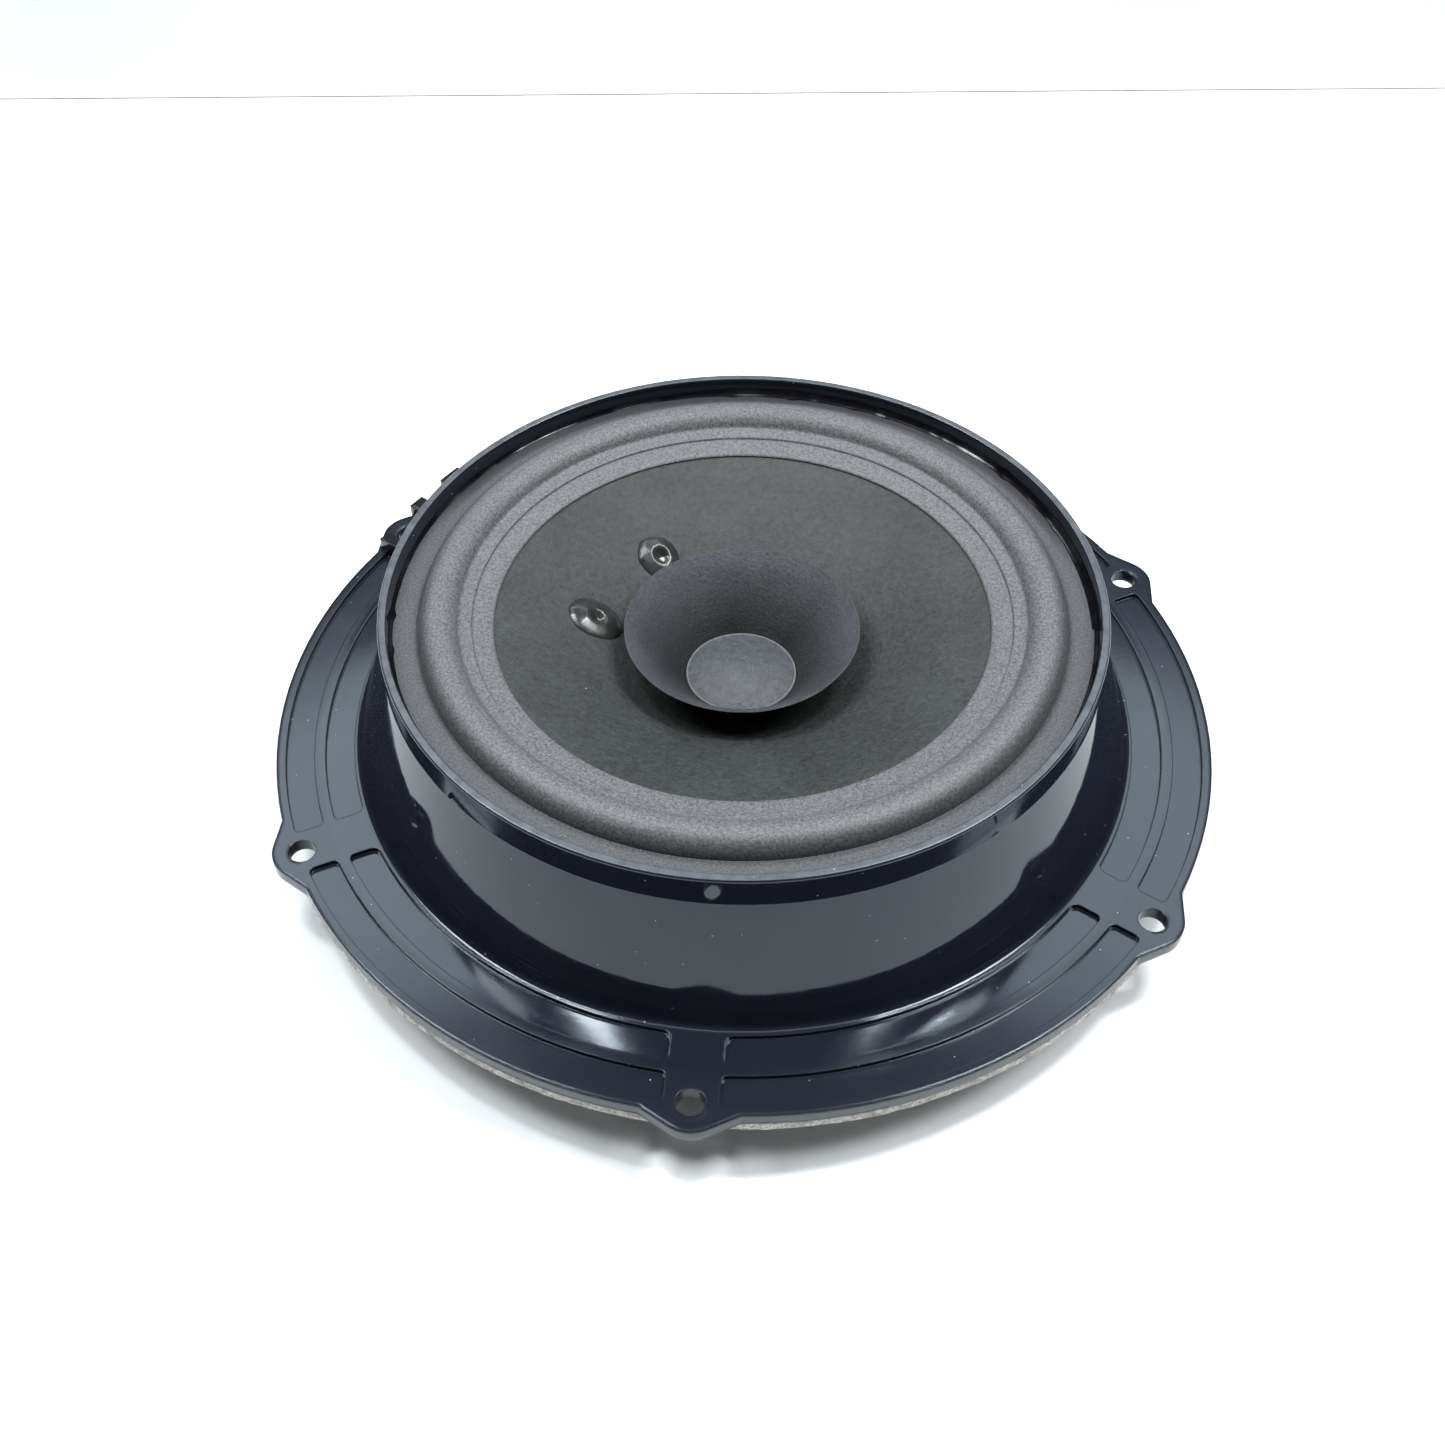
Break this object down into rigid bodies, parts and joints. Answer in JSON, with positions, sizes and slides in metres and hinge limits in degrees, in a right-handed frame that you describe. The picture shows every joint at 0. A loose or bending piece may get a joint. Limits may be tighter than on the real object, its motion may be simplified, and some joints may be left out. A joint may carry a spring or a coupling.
{
  "type": "car door loudspeaker",
  "caption": "Round full-range loudspeaker driver for a car door, with a whizzer cone, a raised moulded chassis and a screw flange.",
  "frame": {"origin": "middle of the back plate's rear face, where the driver stands on a table", "axes": "+Z along the axis, out of the front of the cone; the terminal block lies 150 degrees round from +X, and one screw hole lies on +Y"},
  "size_m": [0.2222, 0.2308, 0.0573],
  "materials": {
    "basket_plastic": "gloss black, faintly blue",
    "housing_plastic": "gloss black",
    "foam": "open-cell foam",
    "steel": "zinc plated",
    "ferrite": "matt grey ferrite",
    "screw": "zinc plated",
    "surround_cloth": "coated grey cloth with a speckled grain",
    "black_glue": "gloss black glue",
    "dot_glue": "gloss dark glue",
    "spider_cloth": "resin-treated woven cloth",
    "cone_paper": "matt pressed paper",
    "whizzer_paper": "matt pressed paper",
    "felt": "felted dust cap",
    "former_film": "amber film",
    "copper": "enamelled copper wire",
    "terminal_metal": "tinned brass",
    "lead_braid": "braided tinsel"
  },
  "bodies": {
    "chassis": {"basket": "basket_plastic", "gasket": "foam", "top_plate": "steel", "magnet": "ferrite", "back_plate": "steel", "pole_piece": "steel", "motor_screws": "screw", "surround": "surround_cloth", "surround_glue": "black_glue", "spider": "spider_cloth", "terminal_housing": "housing_plastic", "terminal_left": "terminal_metal", "terminal_right": "terminal_metal", "lead_left": "lead_braid", "lead_right": "lead_braid"},
    "cone_body": {"cone": "cone_paper", "whizzer": "whizzer_paper", "dust_cap": "felt", "former": "former_film", "winding": "copper", "neck_glue": "black_glue", "glue_dot_left": "dot_glue", "glue_dot_right": "dot_glue", "coil_tail_left": "dot_glue", "coil_tail_right": "dot_glue"}
  },
  "joints": [
    {"name": "cone_travel", "type": "slide", "parent": "chassis", "child": "cone_body", "axis": [0, 0, 1], "range_m": [-0.0035, 0.0035], "stiffness_N_per_m": 1500, "deforming": ["surround", "spider", "lead_left", "lead_right"]}
  ]
}
